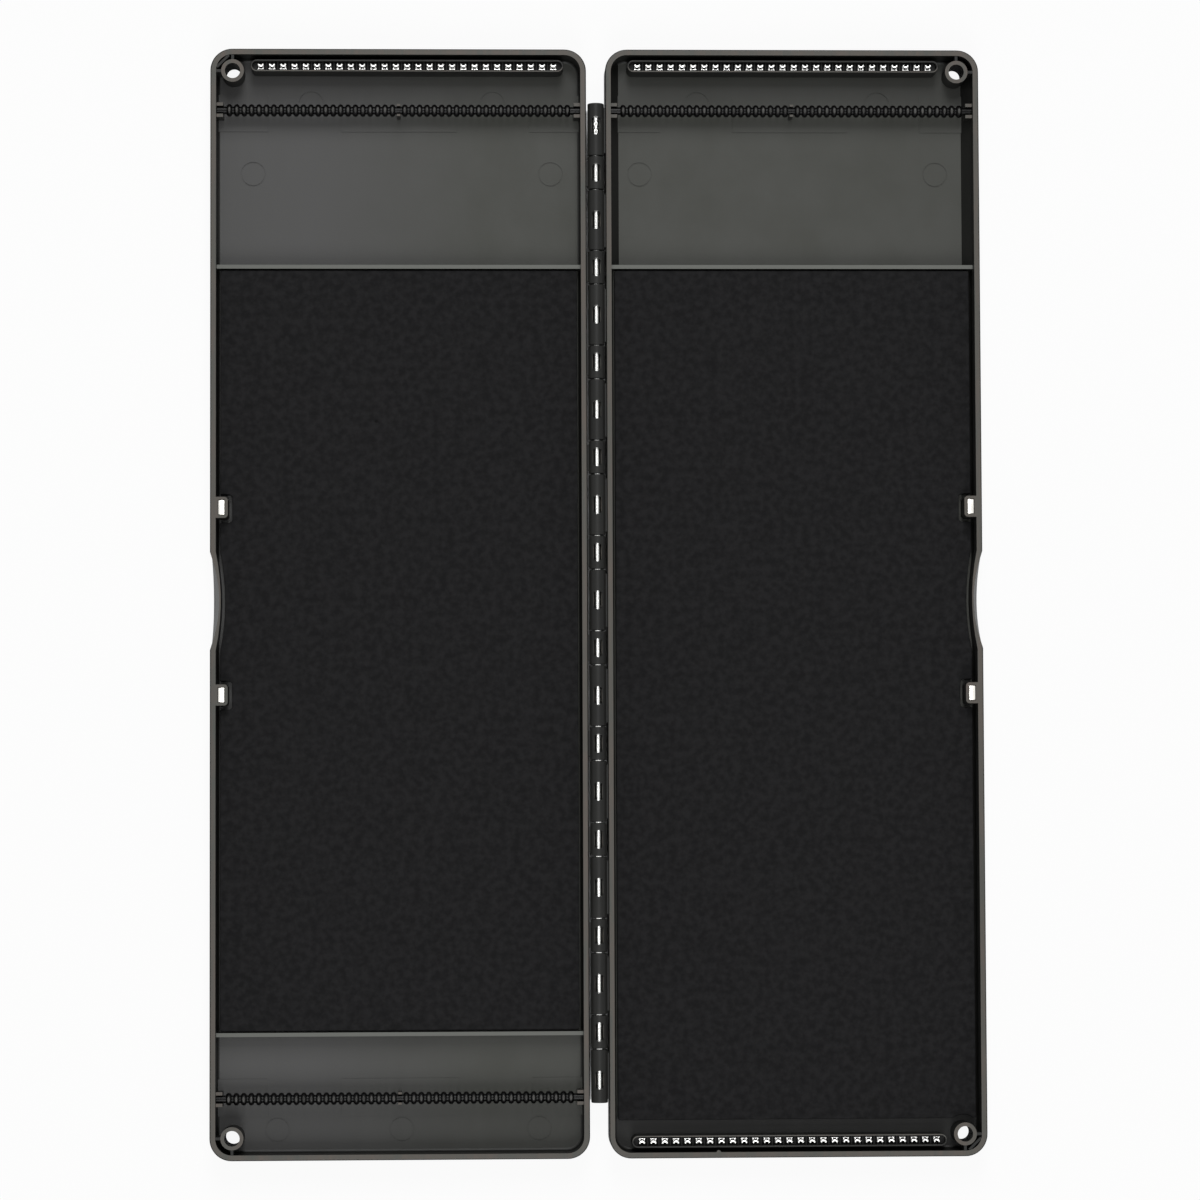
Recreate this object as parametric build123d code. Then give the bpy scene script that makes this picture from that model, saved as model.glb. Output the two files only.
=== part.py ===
from build123d import *
import math
import os

# A slim two-part rig box, lying open flat.
# The hinge axis runs along Y over X = 0, both backs lie on Z = 0, and the rims face up.
# Each tray is drawn on the right of the hinge, and the left one is then mirrored over.
# A distance called "out" is measured from the hinge axis, and "in" from an end of the case.

# Trays
case_length = 370.0
tray_width = 125.6
tray_depth = 12.5
tray_gap = 6.4
wall = 1.9
floor_thickness = 1.8
corner_radius = 7.3
back_edge_radius = 1.5
rim_edge_radius = 0.45
floor_fillet = 1.1
closing_gap = 0.1
back_panel_inset = 7.0
back_panel_recess = 0.3

# Corner bosses with their through holes, and the ribs that tie them to the walls
boss_inset = 7.4
boss_radius = 3.8
boss_hole_radius = 2.55
boss_rib = 0.9
boss_rib_drop = 0.25
corner_web_length = 5.6
corner_web = 0.8

# How far a cut runs past the face that it opens
cut_over = 1.0

# Dividers between the compartments and the foam
divider_thickness = 1.3
divider_top = 7.6
upper_divider_in = 72.7
lower_divider_in = 41.2

# Foot slope along both sides of the right tray's upper compartment
slope_width = 2.9
slope_bar_gap = 0.4

# Foam panels and the adhesive film under them
foam_thickness = 4.8
adhesive_thickness = 0.2
foam_side_gap = 1.2
foam_end_gap = 0.45
foam_corner_radius = 1.0
foam_lower_in = 12.2
foam_relief_gap = 2.2
adhesive_margin = 1.5

# Hook bars, their end clips and their middle posts
bar_in = 20.1
bar_height = 8.0
bar_crest_radius = 2.1
bar_root_radius = 1.3
bar_pitch = 2.48
bead_length = 1.9
bar_end_gap = 0.15
bar_end_plain = 2.9
bar_middle_plain = 1.7
bar_seat_gap = 0.05
clip_length = 2.2
clip_prong = 1.1
clip_prong_rise = 1.6
post_thickness = 1.2
post_prong = 0.7

# Raised pads on the floor under the bars, and round ejector marks
pad_rise = 0.3
pad_half_width = 6.2
middle_pad_length = 39.0
end_pad_length = 17.0
mark_radius = 4.2
mark_depth = 0.25
mark_ring = 0.45
upper_mark_ins = (40.7, 16.8, 16.8, 40.7)
upper_mark_outs = (15.0, 34.5, 95.5, 115.0)
lower_mark_in = 9.5
lower_mark_outs = (19.8, 65.5, 106.8)

# Pin racks: a moulded channel, a rubber strip in it, and steel rig pins in the strip
rack_in = 5.4
rack_near_gap = 5.6
rack_boss_gap = 2.1
rack_inner_width = 2.9
rack_wall = 0.6
rack_lip_radius = 0.2
rack_top = 11.2
strip_gap = 0.05
strip_top = 8.6
pin_count = 27
pin_end_room = 2.8
pin_wire = 0.8
pin_crown = 2.2
pin_head_reach = 0.78
pin_back_offset = 0.75
pin_bend = 0.5
pin_foot = 3.0
pin_head_height = 10.4
pin_rest_height = 8.95
pin_rest_wire = 0.6
pin_rest_reach = 1.6
pin_pocket_gap = 0.1
strip_bead_radius = 0.62

# Magnets and their housings
magnet_offset = 31.2
magnet_width = 2.3
magnet_length = 5.0
magnet_height = 6.0
magnet_cover = 0.75
magnet_sink = 0.15
magnet_gap = 0.03
housing_reach = 4.0
housing_length = 7.0
housing_edge_radius = 1.2

# Finger notch in the middle of each outer wall
notch_length = 28.0
notch_runout = 2.4
notch_inset = 0.75
notch_bulge_length = 33.0
notch_bulge = 1.7
scoop_length = 27.0
scoop_depth = 2.1
scoop_lean = 12.0

# Hinge barrel and pin
barrel_length = 333.0
barrel_radius = 2.75
short_knuckle = 11.3
end_knuckle = 17.75
short_count = 10
knuckle_gap = 0.3
knuckle_end_radius = 0.35
web_inset = 1.2
web_top_drop = 0.45
window_length = 6.3
window_width = 3.0
hinge_pin_radius = 1.2
hinge_pin_clearance = 0.05
hinge_pin_recess = 0.6
knurl_length = 17.0
knurl_count = 14
knurl_depth = 0.12

# Moulding mark inside the right tray's lower end wall
nub_out = 39.4
nub_radius = 0.7

# Worked out from the sizes above
half_length = case_length / 2
near_wall_out = tray_gap / 2
far_wall_out = near_wall_out + tray_width
tray_middle_out = (near_wall_out + far_wall_out) / 2
near_face_out = near_wall_out + wall
far_face_out = far_wall_out - wall
inner_width = tray_width - 2 * wall
axis_height = tray_depth + closing_gap / 2
boss_out = far_wall_out - boss_inset
boss_along = half_length - boss_inset
foam_bottom = floor_thickness + adhesive_thickness
foam_top = foam_bottom + foam_thickness
foam_start = half_length - upper_divider_in - divider_thickness / 2 - foam_end_gap
bar_along = half_length - bar_in
rack_along = half_length - rack_in
rack_near_out = near_face_out + rack_near_gap
rack_far_out = boss_out - boss_radius - rack_boss_gap
rack_length = rack_far_out - rack_near_out
rack_out = (rack_near_out + rack_far_out) / 2
pin_pitch = (rack_length - 2 * rack_wall - 2 * pin_end_room) / (pin_count - 1)
rack_outer_width = rack_inner_width + 2 * rack_wall
slope_height = bar_height - bar_root_radius - slope_bar_gap - floor_thickness
magnet_out = far_face_out - magnet_cover - magnet_width / 2
magnet_top = tray_depth - magnet_sink
long_knuckle = (barrel_length - 2 * end_knuckle - short_count * short_knuckle) / (short_count - 1)
knuckle_period = short_knuckle + long_knuckle


def block(x0, x1, y0, y1, z0, z1):
    """A box between two corners."""
    size = (x1 - x0, y1 - y0, z1 - z0)
    middle = ((x0 + x1) / 2, (y0 + y1) / 2, (z0 + z1) / 2)
    return Pos(*middle) * Box(*size)


def rounded_slab(x0, x1, y0, y1, z0, z1, radius):
    """A flat plate with round corners."""
    outline = Pos((x0 + x1) / 2, (y0 + y1) / 2, z0) * RectangleRounded(x1 - x0, y1 - y0, radius)
    return extrude(outline, z1 - z0)


def upright(x, y, z0, z1, radius):
    """A round post standing on z0."""
    return Pos(x, y, (z0 + z1) / 2) * Cylinder(radius, z1 - z0)


def notch_outline(depth, length, runout):
    """The plan of a shallow recess in the outer face, with sloping ends."""
    mouth = length / 2 + runout * (1 + cut_over / depth)
    return make_face(
        Polyline(
            (far_wall_out + cut_over, mouth),
            (far_wall_out - depth, length / 2),
            (far_wall_out - depth, -length / 2),
            (far_wall_out + cut_over, -mouth),
            close=True,
        )
    )


def arc_radius(chord, rise):
    """Radius of the arc that rises by rise over a chord."""
    return (chord**2 / 4 + rise**2) / (2 * rise)


def tray_body():
    """Outer block with rounded corners and back edge, before the inside is taken out."""
    body = rounded_slab(
        near_wall_out, far_wall_out, -half_length, half_length, 0, tray_depth, corner_radius
    )
    body = fillet(body.faces().sort_by(Axis.Z)[0].edges(), back_edge_radius)
    body = fillet(body.faces().sort_by(Axis.Z)[-1].edges(), rim_edge_radius)
    panel = rounded_slab(
        near_wall_out + back_panel_inset,
        far_wall_out - back_panel_inset,
        -half_length + back_panel_inset,
        half_length - back_panel_inset,
        0,
        back_panel_recess,
        corner_radius,
    )
    return body - panel


def tray_cavity():
    """The space inside a tray, with a round fillet where the walls meet the floor."""
    cavity = rounded_slab(
        near_face_out,
        far_face_out,
        -half_length + wall,
        half_length - wall,
        floor_thickness,
        tray_depth + cut_over,
        corner_radius - wall,
    )
    return fillet(cavity.faces().sort_by(Axis.Z)[0].edges(), floor_fillet)


def notch_bulge_part():
    """The wall's inward bulge behind the finger notch."""
    radius = arc_radius(notch_bulge_length, notch_bulge)
    face_x = far_face_out
    bow = upright(face_x - notch_bulge + radius, 0, floor_thickness / 2, tray_depth, radius)
    keep = block(
        face_x - notch_bulge - wall,
        face_x + wall / 2,
        -notch_bulge_length / 2,
        notch_bulge_length / 2,
        0,
        tray_depth,
    )
    return bow & keep


def notch_cut():
    """What the finger notch takes away: a flat inset and a leaning scoop at the rim."""
    inset = extrude(notch_outline(notch_inset, notch_length, notch_runout), tray_depth)
    radius = arc_radius(scoop_length, scoop_depth)
    scoop = Pos(far_wall_out - scoop_depth + radius, 0, tray_depth) * (
        Rot(0, -scoop_lean, 0) * Cylinder(radius, 4 * tray_depth)
    )
    reach = block(
        far_face_out - notch_bulge - wall,
        far_wall_out + wall,
        -notch_bulge_length / 2,
        notch_bulge_length / 2,
        back_edge_radius,
        tray_depth + wall,
    )
    return inset + (scoop & reach)


def corner_boss(end, with_web):
    """A tube in the outer corner with two ribs, and a short wall across the corner."""
    y = end * boss_along
    rib_top = tray_depth - boss_rib_drop
    wall_y = end * (half_length - wall / 2)
    boss = upright(boss_out, y, floor_thickness / 2, tray_depth, boss_radius)
    side_rib = block(
        boss_out,
        far_wall_out - wall / 2,
        y - boss_rib / 2,
        y + boss_rib / 2,
        floor_thickness / 2,
        rib_top,
    )
    end_rib = block(
        boss_out - boss_rib / 2,
        boss_out + boss_rib / 2,
        min(y, wall_y),
        max(y, wall_y),
        floor_thickness / 2,
        rib_top,
    )
    boss = boss + side_rib + end_rib
    if with_web:
        reach = (boss_radius + corner_web) * math.sqrt(0.5)
        web = Box(corner_web, corner_web_length, rib_top - floor_thickness / 2)
        middle_z = (rib_top + floor_thickness / 2) / 2
        boss = boss + Pos(boss_out + reach, y + end * reach, middle_z) * (Rot(0, 0, end * 45) * web)
    return boss


def corner_hole(end):
    """The hole through a corner boss and the floor."""
    y = end * boss_along
    return upright(boss_out, y, -cut_over, tray_depth + cut_over, boss_hole_radius)


def divider(y):
    """A low cross wall."""
    return block(
        near_wall_out + wall / 2,
        far_wall_out - wall / 2,
        y - divider_thickness / 2,
        y + divider_thickness / 2,
        floor_thickness / 2,
        divider_top,
    )


def foot_slopes(y0, y1):
    """Sloping feet along both side walls between y0 and y1."""
    sink = floor_thickness / 2
    low = floor_thickness
    near = Polyline(
        (near_face_out - sink, low - sink),
        (near_face_out + slope_width, low - sink),
        (near_face_out + slope_width, low),
        (near_face_out, low + slope_height),
        (near_face_out - sink, low + slope_height),
        close=True,
    )
    outline = Plane((0, y0, 0), x_dir=(1, 0, 0), z_dir=(0, -1, 0)) * make_face(near)
    slope = extrude(outline, y0 - y1)
    mirrored = mirror(slope, about=Plane((tray_middle_out, 0, 0), z_dir=(1, 0, 0)))
    return slope + mirrored


def bar_holders(end):
    """Two end clips and the middle post that hold a hook bar."""
    y = end * bar_along
    seat_radius = bar_root_radius + bar_seat_gap
    half_clip = seat_radius + clip_prong
    half_post = seat_radius + post_prong
    top = bar_height + clip_prong_rise
    low = floor_thickness / 2
    holders = block(
        near_wall_out + wall / 2, near_face_out + clip_length, y - half_clip, y + half_clip, low, top
    )
    holders += block(
        far_face_out - clip_length, far_wall_out - wall / 2, y - half_clip, y + half_clip, low, top
    )
    holders += block(
        tray_middle_out - post_thickness / 2,
        tray_middle_out + post_thickness / 2,
        y - half_post,
        y + half_post,
        low,
        top,
    )
    seat_length = inner_width
    seat = Pos(tray_middle_out, y, bar_height) * (Rot(0, 90, 0) * Cylinder(seat_radius, seat_length))
    mouth = block(
        near_face_out, far_face_out, y - seat_radius, y + seat_radius, bar_height, tray_depth
    )
    return holders - (seat + mouth)


def floor_pads(end):
    """Low raised pads on the floor under a hook bar."""
    y = end * bar_along
    spans = (
        (near_face_out - wall / 2, near_face_out + end_pad_length),
        (tray_middle_out - middle_pad_length / 2, tray_middle_out + middle_pad_length / 2),
        (far_face_out - end_pad_length, far_face_out + wall / 2),
    )
    top = floor_thickness + pad_rise
    pads = Part()
    for x0, x1 in spans:
        pads += block(x0, x1, y - pad_half_width, y + pad_half_width, floor_thickness / 2, top)
    return pads


def ejector_marks(places):
    """Shallow round grooves that the ejector pins leave in the floor."""
    low = floor_thickness - mark_depth
    high = floor_thickness + cut_over
    marks = Part()
    for x, y in places:
        middle = upright(x, y, low, high, mark_radius - mark_ring)
        marks += upright(x, y, low, high, mark_radius) - middle
    return marks


def rack_channel(end):
    """The raised channel that holds a rubber pin strip."""
    y = end * rack_along
    low = floor_thickness / 2
    outer = Pos(rack_out, y, low) * SlotOverall(rack_length, rack_outer_width)
    inner = Pos(rack_out, y, floor_thickness) * SlotOverall(
        rack_length - 2 * rack_wall, rack_inner_width
    )
    channel = extrude(outer, rack_top - low) - extrude(inner, rack_top)
    return fillet(channel.edges().group_by(Axis.Z)[-1], rack_lip_radius)


def magnet_housing(y):
    """A rounded block on the outer wall that holds a magnet."""
    housing = block(
        far_face_out - housing_reach,
        far_wall_out - wall / 2,
        y - housing_length / 2,
        y + housing_length / 2,
        floor_thickness / 2,
        tray_depth,
    )
    front = housing.edges().filter_by(Axis.Z).sort_by(Axis.X)[:2]
    return fillet(front, housing_edge_radius)


def magnet_pocket(y):
    """The pocket for a magnet, open at the rim."""
    return block(
        magnet_out - magnet_width / 2 - magnet_gap,
        magnet_out + magnet_width / 2 + magnet_gap,
        y - magnet_length / 2 - magnet_gap,
        y + magnet_length / 2 + magnet_gap,
        magnet_top - magnet_height,
        tray_depth + cut_over,
    )


def knuckle_spans(long_ones):
    """Lower and upper Y of each knuckle of one kind along the barrel."""
    spans = []
    for k in range(-short_count, short_count + 1):
        middle = k * knuckle_period / 2
        is_long = k % 2 == 0
        if is_long != long_ones:
            continue
        if abs(k) == short_count:
            outer = barrel_length / 2
            inner = outer - end_knuckle + knuckle_gap / 2
            spans.append((inner, outer) if k > 0 else (-outer, -inner))
            continue
        half = (long_knuckle if is_long else short_knuckle) / 2 - knuckle_gap / 2
        spans.append((middle - half, middle + half))
    return spans


def knuckles(long_ones):
    """Barrel lengths of one tray, each on a web that joins it to the wall."""
    bore_radius = hinge_pin_radius + hinge_pin_clearance
    solids = Part()
    for y0, y1 in knuckle_spans(long_ones):
        along = Rot(90, 0, 0) * Cylinder(barrel_radius, y1 - y0)
        along = fillet(along.edges().filter_by(GeomType.CIRCLE), knuckle_end_radius)
        solids += Pos(0, (y0 + y1) / 2, axis_height) * along
        solids += block(
            bore_radius,
            near_wall_out + wall / 2,
            y0 + web_inset,
            y1 - web_inset,
            axis_height - barrel_radius,
            axis_height - web_top_drop,
        )
    bore = Pos(0, 0, axis_height) * (Rot(90, 0, 0) * Cylinder(bore_radius, case_length))
    solids -= bore
    for k in range(-short_count, short_count + 1):
        if (k % 2 == 0) == long_ones:
            window = Pos(0, k * knuckle_period / 2, axis_height) * SlotOverall(
                window_length, window_width, rotation=90
            )
            solids -= extrude(window, barrel_radius + cut_over)
    return solids


def tray_with_common_parts(end_webs):
    """A tray with what both trays have: rim, bosses, notch, magnets and the upper end."""
    tray = tray_body() - tray_cavity()
    tray += notch_bulge_part()
    for end in (1, -1):
        tray += corner_boss(end, end in end_webs)
    for y in (magnet_offset, -magnet_offset):
        tray += magnet_housing(y)
    tray += divider(half_length - upper_divider_in)
    tray += floor_pads(1)
    tray += bar_holders(1)
    tray += rack_channel(1)
    return tray


def finish_tray(tray):
    """The cuts that come after everything has been added."""
    for end in (1, -1):
        tray -= corner_hole(end)
    for y in (magnet_offset, -magnet_offset):
        tray -= magnet_pocket(y)
    upper = [(out, half_length - inward) for out, inward in zip(upper_mark_outs, upper_mark_ins)]
    tray -= ejector_marks(upper)
    tray -= notch_cut()
    return tray


def to_left(shape):
    """Carry a shape from the right of the hinge to the left."""
    return mirror(shape, about=Plane.YZ)


def right_tray():
    """Carries the long knuckles and a second pin rack at its lower end."""
    tray = tray_with_common_parts(end_webs=(-1,))
    tray += foot_slopes(half_length - upper_divider_in, half_length - wall / 2) & tray_body()
    tray += rack_channel(-1)
    tray += upright(nub_out, -half_length + wall, tray_depth / 2, tray_depth, nub_radius)
    return finish_tray(tray) + knuckles(long_ones=True)


def left_tray():
    """Carries the short knuckles, with a second divider and hook bar at its lower end."""
    tray = tray_with_common_parts(end_webs=(1,))
    tray += divider(-half_length + lower_divider_in)
    tray += floor_pads(-1)
    tray += bar_holders(-1)
    lower = [(out, -half_length + lower_mark_in) for out in lower_mark_outs]
    tray -= ejector_marks(lower)
    return to_left(finish_tray(tray) + knuckles(long_ones=False))


def panel_slab(y0, y1, z0, z1, margin):
    """A flat sheet that fills a foam bay, cut round the housings and the notch bulge."""
    x0 = near_face_out + foam_side_gap + margin
    x1 = far_face_out - foam_side_gap - margin
    radius = foam_corner_radius + margin
    slab = rounded_slab(x0, x1, y0 + margin, y1 - margin, z0, z1, radius)
    grow = foam_side_gap + margin
    for y in (magnet_offset, -magnet_offset):
        slab -= rounded_slab(
            far_face_out - housing_reach - grow,
            far_wall_out + housing_reach,
            y - housing_length / 2 - grow,
            y + housing_length / 2 + grow,
            z0,
            z1,
            housing_edge_radius,
        )
    bow = arc_radius(notch_bulge_length, notch_bulge)
    slab -= upright(far_face_out - notch_bulge + bow, 0, z0, z1, bow + grow)
    return slab


def foam_layer(is_right, z0, z1, margin):
    """One layer of a foam bay: the foam itself or the adhesive film under it."""
    if is_right:
        low = -half_length + foam_lower_in
    else:
        low = -half_length + lower_divider_in + divider_thickness / 2 + foam_end_gap
    slab = panel_slab(low, foam_start, z0, z1, margin)
    if is_right:
        slab -= upright(boss_out, -boss_along, z0, z1, boss_radius + foam_relief_gap + margin)
        return slab
    return to_left(slab)


def hook_bar(end):
    """A ribbed bar: plain ends and middle, and round beads between them."""
    half = inner_width / 2 - bar_end_gap
    points = [(-half, 0), (-half, bar_root_radius)]
    bead_room = half - bar_end_plain - bar_middle_plain / 2
    beads = int((bead_room + bar_pitch - bead_length) / bar_pitch)
    spare = bead_room - beads * bar_pitch + (bar_pitch - bead_length)
    starts = []
    for k in range(beads):
        starts.append(-half + bar_end_plain + spare / 2 + k * bar_pitch)
    for k in range(beads):
        starts.append(bar_middle_plain / 2 + spare / 2 + k * bar_pitch)
    lines = [Polyline(*points)]
    last = points[-1]
    for x in starts:
        lines.append(Line(last, (x, bar_root_radius)))
        crest = (x + bead_length / 2, bar_crest_radius)
        last = (x + bead_length, bar_root_radius)
        lines.append(ThreePointArc((x, bar_root_radius), crest, last))
    lines.append(Polyline(last, (half, bar_root_radius), (half, 0), (-half, 0)))
    section = make_face(Curve() + lines)
    bar = revolve(section, Axis.X)
    return Pos(tray_middle_out, end * bar_along, bar_height) * bar


def pin_outs():
    """Distance of each rig pin from the hinge axis."""
    first = rack_out - (pin_count - 1) * pin_pitch / 2
    return [first + k * pin_pitch for k in range(pin_count)]


def pin_strip(end):
    """Rubber strip with a pocket for each pin and a round rib between pockets."""
    y = end * rack_along
    length = rack_length - 2 * rack_wall - 2 * strip_gap
    width = rack_inner_width - 2 * strip_gap
    base = Pos(rack_out, y, floor_thickness) * SlotOverall(length, width)
    strip = extrude(base, strip_top - floor_thickness)
    back_y = y + end * pin_back_offset
    rib = Rot(90, 0, 0) * Cylinder(strip_bead_radius, width)
    ribs = [Pos(out + pin_pitch / 2, y, strip_top) * rib for out in pin_outs()[:-1]]
    half_pocket = pin_wire / 2 + pin_pocket_gap
    half_crown = pin_crown / 2 + pin_pocket_gap
    pockets = []
    for out in pin_outs():
        pockets.append(
            block(
                out - half_crown,
                out + half_crown,
                back_y - half_pocket,
                back_y + half_pocket,
                pin_foot,
                strip_top + cut_over,
            )
        )
    return strip.fuse(*ribs).cut(*pockets)


def rig_pins(end, side):
    """Bent steel wire pins: two legs, a cranked head, and a thinner loop that rests on the rubber."""
    leg = pin_crown / 2 - pin_wire / 2
    back = end * pin_back_offset
    front = back - end * pin_head_reach
    top = pin_head_height
    route = FilletPolyline(
        (-leg, back, pin_foot),
        (-leg, back, top),
        (-leg, front, top),
        (leg, front, top),
        (leg, back, top),
        (leg, back, pin_foot),
        radius=pin_bend,
    )
    section = Pos(-leg, back, pin_foot) * Circle(pin_wire / 2)
    one = sweep(section, path=route)
    rest = back - end * pin_rest_reach
    side_bar = Rot(90, 0, 0) * Cylinder(pin_rest_wire / 2, pin_rest_reach)
    cross_bar = Rot(0, 90, 0) * Cylinder(pin_rest_wire / 2, 2 * leg + pin_rest_wire)
    for out in (-leg, leg):
        one += Pos(out, (back + rest) / 2, pin_rest_height) * side_bar
    one += Pos(0, rest, pin_rest_height) * cross_bar
    y = end * rack_along
    return Compound(children=[Pos(side * out, y, 0) * one for out in pin_outs()])


def magnet(y):
    """A plated block magnet."""
    return block(
        magnet_out - magnet_width / 2,
        magnet_out + magnet_width / 2,
        y - magnet_length / 2,
        y + magnet_length / 2,
        magnet_top - magnet_height,
        magnet_top,
    )


def hinge_pin():
    """A straight steel pin with a grooved length that grips the first knuckle."""
    length = barrel_length - 2 * hinge_pin_recess
    pin = Rot(90, 0, 0) * Cylinder(hinge_pin_radius, length)
    grooves = []
    for k in range(knurl_count):
        angle = 360 * k / knurl_count
        groove = Pos(hinge_pin_radius, length / 2 - knurl_length / 2, 0) * (
            Rot(0, 45, 0) * Box(2 * knurl_depth, knurl_length, 2 * knurl_depth)
        )
        grooves.append(Rot(0, angle, 0) * groove)
    return Pos(0, 0, axis_height) * pin.cut(*grooves)


nodes = {
    "right_tray": right_tray(),
    "left_tray": left_tray(),
    "hinge_pin": hinge_pin(),
    "right_foam_panel": foam_layer(True, foam_bottom, foam_top, 0),
    "left_foam_panel": foam_layer(False, foam_bottom, foam_top, 0),
    "right_foam_adhesive": foam_layer(True, floor_thickness, foam_bottom, adhesive_margin),
    "left_foam_adhesive": foam_layer(False, floor_thickness, foam_bottom, adhesive_margin),
    "right_upper_hook_bar": hook_bar(1),
    "left_upper_hook_bar": to_left(hook_bar(1)),
    "left_lower_hook_bar": to_left(hook_bar(-1)),
    "right_upper_pin_strip": pin_strip(1),
    "right_lower_pin_strip": pin_strip(-1),
    "left_upper_pin_strip": to_left(pin_strip(1)),
    "right_upper_rig_pins": rig_pins(1, 1),
    "right_lower_rig_pins": rig_pins(-1, 1),
    "left_upper_rig_pins": rig_pins(1, -1),
    "right_upper_magnet": magnet(magnet_offset),
    "right_lower_magnet": magnet(-magnet_offset),
    "left_upper_magnet": to_left(magnet(magnet_offset)),
    "left_lower_magnet": to_left(magnet(-magnet_offset)),
}

os.makedirs("parts", exist_ok=True)
for name, shape in nodes.items():
    export_step(shape, "parts/" + name + ".step")
    print(name, round(shape.volume, 3))
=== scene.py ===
import math

import bmesh
import bpy
from mathutils import Matrix, Vector, noise


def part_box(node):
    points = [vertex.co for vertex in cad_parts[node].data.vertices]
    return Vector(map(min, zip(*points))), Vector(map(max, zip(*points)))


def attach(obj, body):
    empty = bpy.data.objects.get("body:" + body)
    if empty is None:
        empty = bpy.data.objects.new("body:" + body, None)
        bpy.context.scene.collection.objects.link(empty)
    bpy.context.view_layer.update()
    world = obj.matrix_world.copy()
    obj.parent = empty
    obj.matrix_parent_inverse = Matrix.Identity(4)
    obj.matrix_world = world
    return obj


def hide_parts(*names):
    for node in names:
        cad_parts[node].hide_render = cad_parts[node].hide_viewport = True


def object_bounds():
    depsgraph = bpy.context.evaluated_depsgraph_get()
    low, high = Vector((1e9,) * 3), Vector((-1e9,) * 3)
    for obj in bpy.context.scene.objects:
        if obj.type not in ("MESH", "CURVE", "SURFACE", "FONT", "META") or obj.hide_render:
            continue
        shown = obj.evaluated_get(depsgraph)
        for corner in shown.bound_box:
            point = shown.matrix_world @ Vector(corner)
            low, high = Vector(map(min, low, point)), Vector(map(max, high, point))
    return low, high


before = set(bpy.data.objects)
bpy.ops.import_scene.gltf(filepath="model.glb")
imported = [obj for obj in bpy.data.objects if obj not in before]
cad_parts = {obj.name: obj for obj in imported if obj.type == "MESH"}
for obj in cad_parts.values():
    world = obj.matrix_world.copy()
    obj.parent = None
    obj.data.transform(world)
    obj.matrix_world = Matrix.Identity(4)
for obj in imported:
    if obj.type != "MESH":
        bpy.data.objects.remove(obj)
cad_box = [list(corner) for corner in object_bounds()]

# The camera: straight above the open box, a little low and left of its middle, with a long lens.
# Its place, turn and lens were fitted to the corner bosses and the edges of both trays.
camera_place = (-0.0477, -0.0736, 1.4)
camera_turn = (0.05315, -0.03472, -0.00408)
camera_lens = 125.24
camera_sensor = 36.0
camera_reach = 20.0
camera_data = bpy.data.cameras.new("overhead_camera")
camera_data.lens = camera_lens
camera_data.sensor_width = camera_sensor
camera_data.clip_end = camera_reach
camera = bpy.data.objects.new("overhead_camera", camera_data)
camera.location = camera_place
camera.rotation_euler = camera_turn
bpy.context.scene.collection.objects.link(camera)
bpy.context.scene.camera = camera

# The two trays: injection moulded in dark olive-black plastic with a fine spark-eroded grain.
# Faces that look up carry a painted sheen, brighter on the rims, the divider tops and the clip
# tips as a painted highlight, while the walls and fillets between them keep the near-black of the
# moulding.
MM = 0.001
TRAY_WALL = (0.0060, 0.0060, 0.0055, 1.0)
TRAY_WALL_WORN = (0.0095, 0.0097, 0.0086, 1.0)
# Painted sheen of the floors that look up, with a slow random mottle.
TRAY_FLOOR_SHEEN = (0.0430, 0.0445, 0.0380, 1.0)
TRAY_FLOOR_SHEEN_MOTTLED = (0.0520, 0.0535, 0.0475, 1.0)
TRAY_FLOOR_OUTER_SHEEN = (0.066, 0.066, 0.065, 1.0)
# Painted highlight of the rims and divider tops; the scuff noise between the two rim tones is
# wear.
TRAY_RIM_SHEEN = (0.074, 0.078, 0.070, 1.0)
TRAY_RIM_SHEEN_WORN = (0.112, 0.093, 0.080, 1.0)
TRAY_DIVIDER_SHEEN = (0.135, 0.139, 0.127, 1.0)
TRAY_SPECULAR = 0.24
TRAY_ROUGHNESS = (0.42, 0.48)
tray_mottle = (0.35, 0.65)
tray_scuff = (0.30, 0.70)
tray_polish = (0.30, 0.75)
tray_grain_strength = 0.35
tray_grain_depth = 0.06 * MM
looking_up = (0.92, 0.995)
rim_above_magnet = 0.15 * MM
floor_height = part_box("right_foam_adhesive")[0][2]
tray_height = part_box("right_upper_magnet")[1][2] + rim_above_magnet
divider_height = 7.6 * MM
clip_height = 9.6 * MM
rack_height = 11.2 * MM
# Painted highlight on the racks' lips, only on the side towards the middle.
lit_rack_lip = (178.3 * MM, 179.6 * MM)
floor_fade = (floor_height + 0.4 * MM, floor_height + 0.8 * MM)
back_fade = (0.6 * MM, 1.0 * MM)
outer_sheen_span = (-38.0 * MM, -95.0 * MM)
# Painted shade of the end walls and hook bars dims the floor sheen near each end.
end_shade_band = (164.0 * MM, 172.0 * MM)
end_shade_share = 0.72
middle_fade = (-1.0 * MM, 1.0 * MM)
# Painted shade takes the floor sheen away beyond the sill at the lower end of the right tray.
right_sill_shade = (-172.0 * MM, -171.0 * MM)
band = 0.12 * MM
FULL = (0.0, 1.0)
FADING = (1.0, 0.0)


def add_node(tree, kind, **inputs):
    """A shader node with some of its inputs filled in."""
    node = tree.nodes.new(kind)
    for name, value in inputs.items():
        node.inputs[name.replace("_", " ")].default_value = value
    return node


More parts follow.
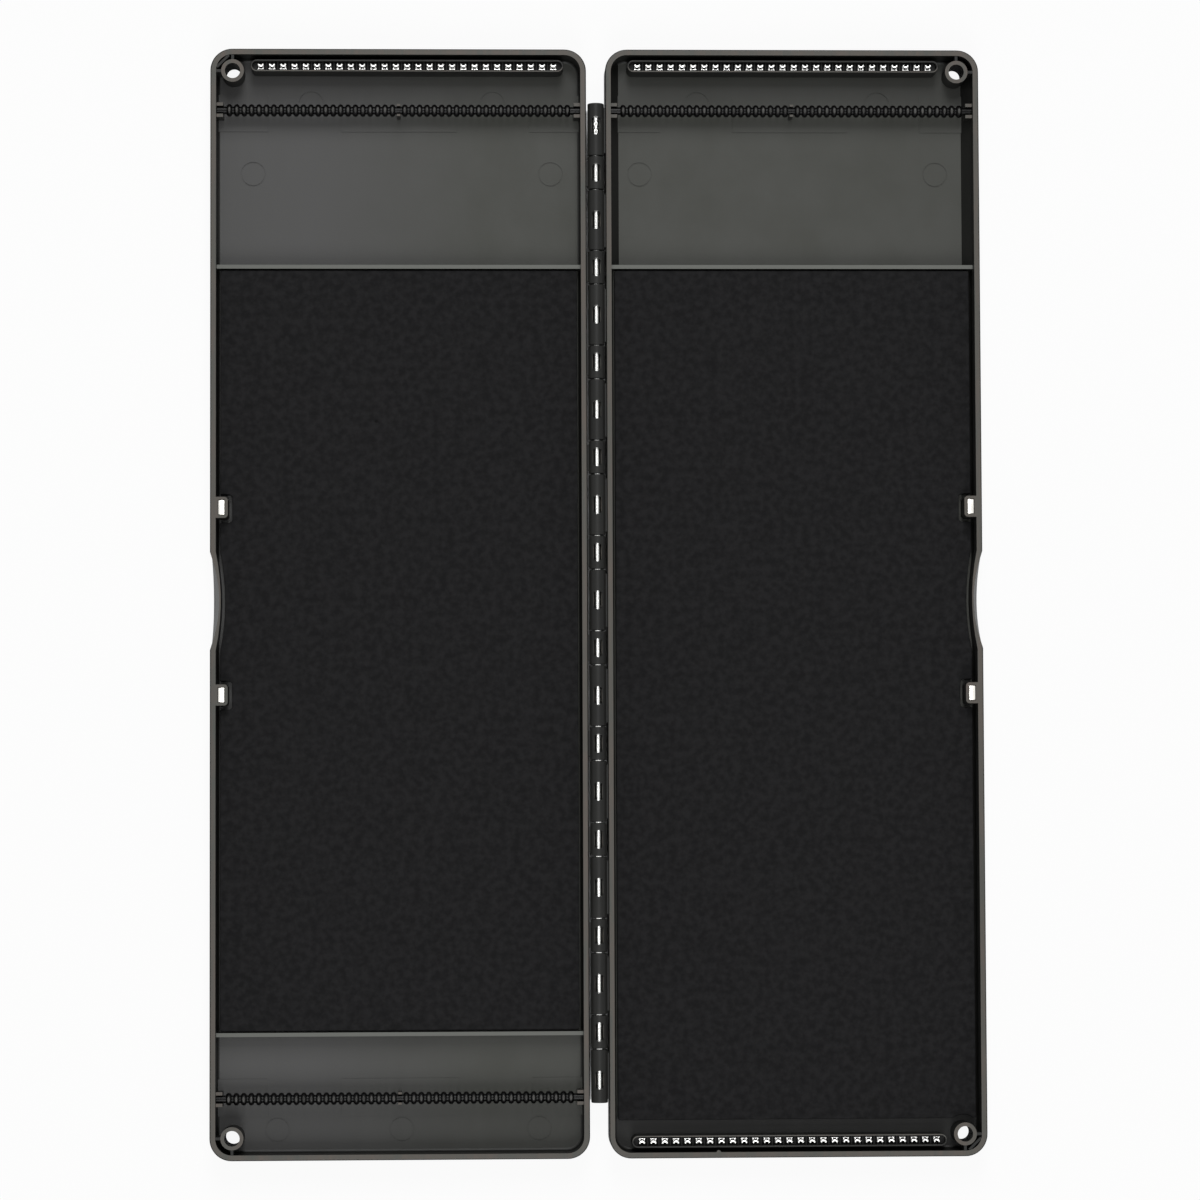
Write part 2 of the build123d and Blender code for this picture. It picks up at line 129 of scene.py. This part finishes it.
def new_skin_group():
    """Moulded grain shared by the plastics: fine pits, slow mottling and faint scuffs."""
    group = bpy.data.node_groups.new("moulded_skin", "ShaderNodeTree")
    for name, value in (("Grain Scale", 1500.0), ("Mottle Scale", 45.0), ("Scuff Scale", 260.0)):
        socket = group.interface.new_socket(name, in_out="INPUT", socket_type="NodeSocketFloat")
        socket.default_value = value
    for name in ("Grain", "Mottle", "Scuff"):
        group.interface.new_socket(name, in_out="OUTPUT", socket_type="NodeSocketFloat")
    inside = group.nodes.new("NodeGroupInput")
    outside = group.nodes.new("NodeGroupOutput")
    where = group.nodes.new("ShaderNodeTexCoord")
    link = group.links.new
    grain = add_node(group, "ShaderNodeTexNoise", Detail=2.0, Roughness=0.6)
    mottle = add_node(group, "ShaderNodeTexNoise", Detail=4.0, Roughness=0.55)
    scuff = add_node(group, "ShaderNodeTexNoise", Detail=5.0, Roughness=0.7, Distortion=0.6)
    stretch = add_node(
        group, "ShaderNodeMapping", Scale=(1.0, 0.16, 1.0), Rotation=(0.0, 0.0, 0.5)
    )
    for texture, scale, result in (
        (grain, "Grain Scale", "Grain"),
        (mottle, "Mottle Scale", "Mottle"),
        (scuff, "Scuff Scale", "Scuff"),
    ):
        link(inside.outputs[scale], texture.inputs["Scale"])
        link(where.outputs["Object"], texture.inputs["Vector"])
        link(texture.outputs["Fac"], outside.inputs[result])
    link(where.outputs["Object"], stretch.inputs["Vector"])
    link(stretch.outputs["Vector"], scuff.inputs["Vector"])
    return group


skin_group = new_skin_group()


def coordinates(tree, kind):
    """The X, Y and Z of one kind of texture coordinate."""
    where = tree.nodes.new("ShaderNodeTexCoord")
    parts = tree.nodes.new("ShaderNodeSeparateXYZ")
    tree.links.new(where.outputs[kind], parts.inputs["Vector"])
    return parts.outputs


def absolute(tree, source):
    """A value without its sign."""
    result = tree.nodes.new("ShaderNodeMath")
    result.operation = "ABSOLUTE"
    tree.links.new(source, result.inputs[0])
    return result.outputs["Value"]


def ranged(tree, source, span, onto=FULL):
    """A value spread from one range onto another and clamped."""
    spread = add_node(
        tree, "ShaderNodeMapRange",
        From_Min=span[0], From_Max=span[1], To_Min=onto[0], To_Max=onto[1],
    )
    tree.links.new(source, spread.inputs["Value"])
    return spread.outputs["Result"]


def combined(tree, operation, first, *others):
    """Masks joined by a maths operation."""
    result = first
    for other in others:
        joined = tree.nodes.new("ShaderNodeMath")
        joined.operation = operation
        tree.links.new(result, joined.inputs[0])
        tree.links.new(other, joined.inputs[1])
        result = joined.outputs["Value"]
    return result


def blended(tree, mask, first, second):
    """A colour mixed by a mask. Each colour is a tuple or a socket."""
    mix = tree.nodes.new("ShaderNodeMix")
    mix.data_type = "RGBA"
    tree.links.new(mask, mix.inputs["Factor"])
    # The node has sockets of the same names for numbers and vectors, so the colours go by index.
    for colour, socket in ((first, mix.inputs[6]), (second, mix.inputs[7])):
        if isinstance(colour, tuple):
            socket.default_value = colour
        else:
            tree.links.new(colour, socket)
    return mix.outputs[2]


def new_material(name):
    """An empty material with its Principled shader and a moulded skin group."""
    material = bpy.data.materials.new(name)
    material.use_nodes = True
    tree = material.node_tree
    shader = tree.nodes["Principled BSDF"]
    skin = tree.nodes.new("ShaderNodeGroup")
    skin.node_tree = skin_group
    return material, tree, shader, skin


def bump(tree, shader, height, strength, distance):
    """Relief from a height value."""
    relief = add_node(tree, "ShaderNodeBump", Strength=strength, Distance=distance)
    tree.links.new(height, relief.inputs["Height"])
    tree.links.new(relief.outputs["Normal"], shader.inputs["Normal"])


def near_height(tree, height, level):
    """A mask that is one in a thin band around a height."""
    rising = ranged(tree, height, (level - 2 * band, level - band))
    falling = ranged(tree, height, (level + band, level + 2 * band), FADING)
    return combined(tree, "MULTIPLY", rising, falling)


def tray_plastic():
    """The trays' plastic, with a painted sheen on the faces that look up."""
    material, tree, shader, skin = new_material("tray_plastic")
    place = coordinates(tree, "Object")
    height = place["Z"]
    along = absolute(tree, place["Y"])
    mottle = ranged(tree, skin.outputs["Mottle"], tray_mottle)
    scuff = ranged(tree, skin.outputs["Scuff"], tray_scuff)
    upward = ranged(tree, coordinates(tree, "Normal")["Z"], looking_up)

    # The compartment floors carry a painted sheen that makes them paler than the walls, paler
    # still to the outer side of the left tray; painted shade dims it in the hook bays and takes
    # it away beyond the sill at the lower end of the right tray.
    wall = blended(tree, mottle, TRAY_WALL, TRAY_WALL_WORN)
    bed = blended(tree, mottle, TRAY_FLOOR_SHEEN, TRAY_FLOOR_SHEEN_MOTTLED)
    # Painted sheen, paler and greyer towards the outer wall of the left tray.
    bed = blended(tree, ranged(tree, place["X"], outer_sheen_span), bed, TRAY_FLOOR_OUTER_SHEEN)
    low = ranged(tree, height, floor_fade, FADING)
    inside = combined(tree, "MULTIPLY", low, ranged(tree, height, back_fade))
    end_shade = ranged(tree, along, end_shade_band, (1.0, end_shade_share))
    on_right = ranged(tree, place["X"], middle_fade)
    beyond = ranged(tree, place["Y"], right_sill_shade, FADING)
    sill_shade = ranged(tree, combined(tree, "MULTIPLY", on_right, beyond), FULL, FADING)
    floor_sheen = combined(tree, "MULTIPLY", inside, upward, end_shade, sill_shade)
    bedded = blended(tree, floor_sheen, wall, bed)

    # The rims, the clip tips and the racks' lips on the side towards the middle carry a painted
    # highlight, with scuffed wear on the rims, and the divider tops the brightest one.
    divider = near_height(tree, height, divider_height)
    lit_lip_side = ranged(tree, along, lit_rack_lip, FADING)
    raised = combined(
        tree, "MAXIMUM",
        divider,
        near_height(tree, height, clip_height),
        near_height(tree, height, tray_height),
        combined(tree, "MULTIPLY", near_height(tree, height, rack_height), lit_lip_side),
    )
    top_sheen = combined(tree, "MULTIPLY", raised, upward)
    rim = blended(tree, scuff, TRAY_RIM_SHEEN, TRAY_RIM_SHEEN_WORN)
    rim = blended(tree, divider, rim, TRAY_DIVIDER_SHEEN)
    tree.links.new(blended(tree, top_sheen, bedded, rim), shader.inputs["Base Color"])
    polish = ranged(tree, skin.outputs["Scuff"], tray_polish, TRAY_ROUGHNESS)
    tree.links.new(polish, shader.inputs["Roughness"])
    shader.inputs["Specular IOR Level"].default_value = TRAY_SPECULAR
    bump(tree, shader, skin.outputs["Grain"], tray_grain_strength, tray_grain_depth)
    return material


def wear(node_name, material):
    """Puts a material on a CAD node."""
    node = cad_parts[node_name]
    for slot in node.material_slots:
        slot.material = material
    if not node.material_slots:
        node.data.materials.append(material)


tray_material = tray_plastic()
wear("right_tray", tray_material)
wear("left_tray", tray_material)

# The foam beds: 5 mm closed-cell foam sheet, die cut and stuck down in each tray.
# The cut edges are slightly round, and the face has a close, dull grain with a few pin pricks,
# painted as dots of shade.
FOAM_DARK = (0.0065, 0.0065, 0.0069, 1.0)
FOAM_GREY = (0.0145, 0.0143, 0.0150, 1.0)
FOAM_PRICK_SHADE = (0.0015, 0.0015, 0.0016, 1.0)
FOAM_ROUGHNESS = 0.92
FOAM_SPECULAR = 0.16
foam_cell_scale = 900.0
foam_speckle_scale = 420.0
foam_speckle = (0.36, 0.64)
foam_cell_strength = 0.55
foam_cell_depth = 0.14 * MM
foam_prick_scale = 19.0
foam_prick = (0.0065, 0.0143)
foam_edge_round = 0.45 * MM
foam_edge_steps = 3
foam_ripple = 0.09 * MM
foam_ripple_scale = 38.0
foam_grid = 9.0 * MM
foam_merge = 0.01 * MM
foam_flat_angle = 0.01
foam_face_depth = 0.02 * MM


def foam_skin():
    """Dull closed-cell foam."""
    material, tree, shader, skin = new_material("foam_skin")
    skin.inputs["Grain Scale"].default_value = foam_cell_scale
    skin.inputs["Mottle Scale"].default_value = foam_speckle_scale
    speckle = ranged(tree, skin.outputs["Mottle"], foam_speckle)
    where = tree.nodes.new("ShaderNodeTexCoord")
    # Pin pricks painted as small dots of shade.
    prick = add_node(tree, "ShaderNodeTexVoronoi", Scale=foam_prick_scale)
    tree.links.new(where.outputs["Object"], prick.inputs["Vector"])
    prick_shade = ranged(tree, prick.outputs["Distance"], foam_prick)
    face = blended(tree, speckle, FOAM_DARK, FOAM_GREY)
    tree.links.new(blended(tree, prick_shade, FOAM_PRICK_SHADE, face), shader.inputs["Base Color"])
    shader.inputs["Roughness"].default_value = FOAM_ROUGHNESS
    shader.inputs["Specular IOR Level"].default_value = FOAM_SPECULAR
    bump(tree, shader, skin.outputs["Grain"], foam_cell_strength, foam_cell_depth)
    return material


def finished_piece(name, shape, material):
    """The object of a finished bmesh, at the origin and with one material."""
    mesh = bpy.data.meshes.new(name)
    shape.to_mesh(mesh)
    shape.free()
    mesh.materials.append(material)
    piece = bpy.data.objects.new(name, mesh)
    bpy.context.scene.collection.objects.link(piece)
    return piece


def foam_bed(side, material):
    """A foam bed on the outline of its node, with round cut edges and a faint ripple."""
    node_name = side + "_foam_panel"
    low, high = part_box(node_name)
    bed = bmesh.new()
    bed.from_mesh(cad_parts[node_name].data)
    bmesh.ops.remove_doubles(bed, verts=bed.verts, dist=foam_merge)
    bmesh.ops.dissolve_limit(bed, angle_limit=foam_flat_angle, verts=bed.verts, edges=bed.edges)
    rims = [
        edge for edge in bed.edges
        if all(abs(vert.co.z - high[2]) < foam_merge for vert in edge.verts)
        and len(edge.link_faces) == 2
    ]
    bmesh.ops.bevel(
        bed, geom=rims, offset=foam_edge_round, segments=foam_edge_steps,
        affect="EDGES", profile=0.5, material=-1,
    )
    for axis, start, end in ((0, low[0], high[0]), (1, low[1], high[1])):
        count = int((end - start) / foam_grid)
        for step in range(1, count):
            point = Vector((0.0, 0.0, 0.0))
            point[axis] = start + (end - start) * step / count
            normal = Vector((0.0, 0.0, 0.0))
            normal[axis] = 1.0
            geometry = bed.verts[:] + bed.edges[:] + bed.faces[:]
            bmesh.ops.bisect_plane(bed, geom=geometry, plane_co=point, plane_no=normal)
    for vert in bed.verts:
        if vert.co.z > high[2] - foam_face_depth:
            swell = 0.5 + 0.5 * noise.noise(vert.co * foam_ripple_scale)
            vert.co.z -= foam_ripple * swell
    bmesh.ops.triangulate(bed, faces=bed.faces)
    bmesh.ops.recalc_face_normals(bed, faces=bed.faces)
    piece = finished_piece(side + "_foam_bed", bed, material)
    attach(piece, side + "_half")
    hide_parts(node_name)


foam_material = foam_skin()
for side in ("right", "left"):
    foam_bed(side, foam_material)

# The adhesive film under the foam: a thin pale double-sided sheet.
# It only shows at the cut edges of the foam, if at all.
FILM_GREY = (0.050, 0.050, 0.048, 1.0)
FILM_PALE = (0.080, 0.080, 0.075, 1.0)
FILM_ROUGHNESS = 0.6
film_mottle = (0.3, 0.7)


def film_skin():
    """Pale adhesive film."""
    material, tree, shader, skin = new_material("film_skin")
    mottle = ranged(tree, skin.outputs["Mottle"], film_mottle)
    tree.links.new(blended(tree, mottle, FILM_GREY, FILM_PALE), shader.inputs["Base Color"])
    shader.inputs["Roughness"].default_value = FILM_ROUGHNESS
    return material


film_material = film_skin()
wear("right_foam_adhesive", film_material)
wear("left_foam_adhesive", film_material)

# The hook bars: smooth black ribbed mouldings that snap into the clips and the middle post.
# They are glossier than the trays; the crest of each rib carries a painted highlight, broken up
# by noise.
BAR_BLACK = (0.0025, 0.0025, 0.0025, 1.0)
BAR_WORN = (0.0045, 0.0045, 0.0045, 1.0)
BAR_CREST_HIGHLIGHT = (0.105, 0.103, 0.098, 1.0)
BAR_ROUGHNESS = (0.18, 0.30)
BAR_SPECULAR = 0.10
bar_mottle = (0.3, 0.7)
bar_polish = (0.3, 0.7)
bar_crest_break = (0.35, 0.60)
bar_crest_break_share = (0.35, 1.0)
bar_crest_up = (0.86, 0.96)
bar_grain_strength = 0.12
bar_grain_depth = 0.03 * MM
bar_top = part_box("right_upper_hook_bar")[1][2]
bar_crest_height = (bar_top - 0.50 * MM, bar_top - 0.20 * MM)


def bar_skin():
    """Smooth black plastic with a painted highlight on the crest of each rib, broken up by noise.
    """
    material, tree, shader, skin = new_material("bar_skin")
    mottle = ranged(tree, skin.outputs["Mottle"], bar_mottle)
    black = blended(tree, mottle, BAR_BLACK, BAR_WORN)
    # Painted highlight on the top of each rib's crest.
    crest_highlight = combined(
        tree, "MULTIPLY",
        ranged(tree, coordinates(tree, "Object")["Z"], bar_crest_height),
        ranged(tree, coordinates(tree, "Normal")["Z"], bar_crest_up),
        ranged(tree, skin.outputs["Scuff"], bar_crest_break, bar_crest_break_share),
    )
    tree.links.new(blended(tree, crest_highlight, black, BAR_CREST_HIGHLIGHT), shader.inputs["Base Color"])
    polish = ranged(tree, skin.outputs["Scuff"], bar_polish, BAR_ROUGHNESS)
    tree.links.new(polish, shader.inputs["Roughness"])
    shader.inputs["Specular IOR Level"].default_value = BAR_SPECULAR
    bump(tree, shader, skin.outputs["Grain"], bar_grain_strength, bar_grain_depth)
    return material


bar_material = bar_skin()
for name in ("right_upper_hook_bar", "left_upper_hook_bar", "left_lower_hook_bar"):
    wear(name, bar_material)

# The pin strips: soft black rubber pressed into the rack channels.
# Each pocket grips the legs of one pin between two round ribs.
RUBBER_BLACK = (0.003, 0.003, 0.003, 1.0)
RUBBER_WORN = (0.006, 0.006, 0.006, 1.0)
RUBBER_ROUGHNESS = 0.5
RUBBER_SPECULAR = 0.2
rubber_mottle = (0.3, 0.7)
rubber_grain_strength = 0.3
rubber_grain_depth = 0.05 * MM


def rubber_skin():
    """Soft black rubber."""
    material, tree, shader, skin = new_material("rubber_skin")
    mottle = ranged(tree, skin.outputs["Mottle"], rubber_mottle)
    tree.links.new(blended(tree, mottle, RUBBER_BLACK, RUBBER_WORN), shader.inputs["Base Color"])
    shader.inputs["Roughness"].default_value = RUBBER_ROUGHNESS
    shader.inputs["Specular IOR Level"].default_value = RUBBER_SPECULAR
    bump(tree, shader, skin.outputs["Grain"], rubber_grain_strength, rubber_grain_depth)
    return material


rubber_material = rubber_skin()
for name in ("right_upper_pin_strip", "right_lower_pin_strip", "left_upper_pin_strip"):
    wear(name, rubber_material)

# The rig pins: bright drawn steel wire, bent cold, 27 in each rack.
# Drawing leaves fine marks, so the finish is bright with a slight streak.
PIN_STEEL = (0.86, 0.86, 0.84, 1.0)
PIN_ROUGHNESS = (0.14, 0.26)
drawn_mark_scale = 1400.0
drawn_marks = (0.3, 0.7)
drawn_mark_shade = 0.86


def bright_steel(name, tint, roughness):
    """Bright steel with fine drawn marks."""
    material, tree, shader, skin = new_material(name)
    skin.inputs["Scuff Scale"].default_value = drawn_mark_scale
    marks = ranged(tree, skin.outputs["Scuff"], drawn_marks)
    shade = tuple(drawn_mark_shade * value for value in tint[:3]) + (1.0,)
    tree.links.new(blended(tree, marks, shade, tint), shader.inputs["Base Color"])
    shader.inputs["Metallic"].default_value = 1.0
    polish = ranged(tree, skin.outputs["Scuff"], drawn_marks, roughness)
    tree.links.new(polish, shader.inputs["Roughness"])
    return material


pin_material = bright_steel("pin_wire", PIN_STEEL, PIN_ROUGHNESS)
for name in ("right_upper_rig_pins", "right_lower_rig_pins", "left_upper_rig_pins"):
    wear(name, pin_material)

# The hinge pin: a straight steel rod through all the knuckles, ground bright.
# Its upper end is rolled with a diamond knurl that grips the first knuckle.
ROD_STEEL = (0.82, 0.82, 0.80, 1.0)
ROD_ROUGHNESS = (0.12, 0.24)
rod_sides = 72
knurl_length = 17.0 * MM
knurl_depth = 0.13 * MM
knurl_lines = 12
knurl_twist = 1250.0
knurl_rings = 90


def hinge_rod(material):
    """A ring extruded along the hinge, dense over the knurl and long over the plain rod."""
    low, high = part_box("hinge_pin")
    centre_z = (low[2] + high[2]) / 2
    radius = (high[0] - low[0]) / 2
    rod = bmesh.new()
    turn = Matrix.Rotation(math.pi / 2, 4, "X")
    bmesh.ops.create_circle(rod, cap_ends=True, segments=rod_sides, radius=radius, matrix=turn)
    bmesh.ops.translate(rod, verts=rod.verts, vec=(0.0, high[1], centre_z))
    steps = [knurl_length / knurl_rings] * knurl_rings + [high[1] - low[1] - knurl_length]
    loop = rod.edges[:]
    for step in steps:
        grown = bmesh.ops.extrude_edge_only(rod, edges=loop)["geom"]
        verts = [item for item in grown if isinstance(item, bmesh.types.BMVert)]
        loop = [
            item for item in grown
            if isinstance(item, bmesh.types.BMEdge) and all(vert in verts for vert in item.verts)
        ]
        bmesh.ops.translate(rod, verts=verts, vec=(0.0, -step, 0.0))
    bmesh.ops.edgeloop_fill(rod, edges=loop)
    for vert in rod.verts:
        along = high[1] - vert.co.y
        if along > knurl_length:
            continue
        turned = knurl_lines * math.atan2(vert.co.z - centre_z, vert.co.x) / 2
        first = abs(math.sin(turned + knurl_twist * along))
        second = abs(math.sin(turned - knurl_twist * along))
        shrink = 1.0 - knurl_depth / radius * (1.0 - min(first, second))
        vert.co.x *= shrink
        vert.co.z = centre_z + (vert.co.z - centre_z) * shrink
    bmesh.ops.recalc_face_normals(rod, faces=rod.faces)
    # The sides are shaded round and the two flat ends keep a sharp edge.
    for face in rod.faces:
        face.smooth = len(face.verts) == 4
        if not face.smooth:
            for edge in face.edges:
                edge.smooth = False
    piece = finished_piece("hinge_rod", rod, material)
    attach(piece, "right_half")
    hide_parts("hinge_pin")


hinge_rod(bright_steel("hinge_rod", ROD_STEEL, ROD_ROUGHNESS))

# The magnets: nickel-plated blocks pushed into pockets in the outer walls.
# Plating leaves soft corners and a slightly warm, bright face.
MAGNET_NICKEL = (0.84, 0.82, 0.77, 1.0)
MAGNET_ROUGHNESS = (0.22, 0.34)
magnet_round = 0.3 * MM
magnet_round_steps = 3


def plated_magnet(side, place, material):
    """A block with rounded edges in its pocket."""
    node_name = side + "_" + place + "_magnet"
    low, high = (Vector(corner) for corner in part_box(node_name))
    block = bmesh.new()
    bmesh.ops.create_cube(block, size=1.0)
    bmesh.ops.scale(block, verts=block.verts, vec=high - low)
    bmesh.ops.translate(block, verts=block.verts, vec=(low + high) / 2)
    bmesh.ops.bevel(
        block, geom=block.edges[:], offset=magnet_round, segments=magnet_round_steps,
        affect="EDGES", profile=0.5, material=-1,
    )
    for face in block.faces:
        face.smooth = True
    piece = finished_piece(side + "_" + place + "_plated_magnet", block, material)
    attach(piece, side + "_half")
    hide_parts(node_name)


magnet_material = bright_steel("magnet_plating", MAGNET_NICKEL, MAGNET_ROUGHNESS)
for side in ("right", "left"):
    for place in ("upper", "lower"):
        plated_magnet(side, place, magnet_material)

# The floor: a plain white sweep under the box, which keeps a soft shadow.
# It shines white to the camera and in reflections, and is plain matt white to the lamps.
PAPER_WHITE = (0.86, 0.86, 0.86, 1.0)
PAPER_ROUGHNESS = 0.9
paper_glow = 0.92
paper_feather = 0.8 * MM
paper_size = 8.0
paper_drop = 0.2 * MM
hinge_shade_x = 9.0 * MM
hinge_shade_y = (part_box("hinge_pin")[1][1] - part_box("hinge_pin")[0][1]) / 2


def floor_paper():
    """White paper that keeps the object's shadow."""
    material = bpy.data.materials.new("floor_paper")
    material.use_nodes = True
    tree = material.node_tree
    paper = tree.nodes["Principled BSDF"]
    paper.inputs["Base Color"].default_value = PAPER_WHITE
    paper.inputs["Roughness"].default_value = PAPER_ROUGHNESS
    glow = add_node(tree, "ShaderNodeEmission", Color=(1.0, 1.0, 1.0, 1.0), Strength=1.0)
    path = tree.nodes.new("ShaderNodeLightPath")
    place = coordinates(tree, "Object")

    def beyond(half_x, half_y):
        """A mask that is one outside a rectangle about the middle of the box."""
        sides = [
            ranged(tree, absolute(tree, place[axis]), (edge, edge + paper_feather))
            for axis, edge in (("X", half_x), ("Y", half_y))
        ]
        return combined(tree, "MAXIMUM", *sides)

    # Reflections see the glow only outside the open box, and the camera doesn't see it in the
    # dark gap under the hinge.
    open_paper = beyond(cad_box[1][0], cad_box[1][1])
    mirrored = combined(tree, "MULTIPLY", path.outputs["Is Glossy Ray"], open_paper)
    seen = combined(tree, "MAXIMUM", path.outputs["Is Camera Ray"], mirrored)
    lit = combined(tree, "MULTIPLY", seen, beyond(hinge_shade_x, hinge_shade_y))
    mix = tree.nodes.new("ShaderNodeMixShader")
    tree.links.new(ranged(tree, lit, FULL, (0.0, paper_glow)), mix.inputs["Fac"])
    tree.links.new(paper.outputs["BSDF"], mix.inputs[1])
    tree.links.new(glow.outputs["Emission"], mix.inputs[2])
    tree.links.new(mix.outputs["Shader"], tree.nodes["Material Output"].inputs["Surface"])
    return material


sweep = bmesh.new()
bmesh.ops.create_grid(sweep, x_segments=1, y_segments=1, size=paper_size / 2)
bmesh.ops.translate(sweep, verts=sweep.verts, vec=(0.0, 0.0, -paper_drop))
floor = finished_piece("floor", sweep, floor_paper())

# The light: a pale room, two soft lamps past the ends of the box and a faint strip above it.
# The lamps throw the short shadows of the end walls and the hook bars onto the tray floors,
# and put one small light on the crest of each bar bead and a line along the hinge barrel.
ROOM_WHITE = (1.0, 1.0, 1.0, 1.0)
ROOM_FILL = 0.10
lamp_height = 1.35
lamp_reach = 1.05
lamp_size = (0.5, 1.0)
upper_lamp_power = 14.0
lower_lamp_power = 11.5
strip_height = 1.9
strip_size = (0.1, 1.0)
strip_power = 3.0


def lamp(name, place, size, power):
    """A soft lamp aimed at the middle of the box."""
    light = bpy.data.lights.new(name, "AREA")
    light.shape = "RECTANGLE"
    light.size, light.size_y = size
    light.energy = power
    piece = bpy.data.objects.new(name, light)
    piece.location = place
    piece.rotation_euler = (-Vector(place)).to_track_quat("-Z", "Y").to_euler()
    bpy.context.scene.collection.objects.link(piece)


lamp("upper_end_lamp", (0.0, lamp_reach, lamp_height), lamp_size, upper_lamp_power)
lamp("lower_end_lamp", (0.0, -lamp_reach, lamp_height), lamp_size, lower_lamp_power)
lamp("overhead_strip_lamp", (0.0, 0.0, strip_height), strip_size, strip_power)

# The room is full white to the camera and in reflections, and dim as a light.
room = bpy.data.worlds.new("white_room")
room.use_nodes = True
tree = room.node_tree
wall_light = tree.nodes["Background"]
path = tree.nodes.new("ShaderNodeLightPath")
seen = combined(
    tree, "MAXIMUM",
    path.outputs["Is Camera Ray"],
    path.outputs["Is Glossy Ray"],
    path.outputs["Is Transmission Ray"],
)
tree.links.new(ranged(tree, seen, FULL, (ROOM_FILL, 1.0)), wall_light.inputs["Strength"])
wall_light.inputs["Color"].default_value = ROOM_WHITE
bpy.context.scene.world = room
bpy.context.scene.view_settings.view_transform = "Standard"
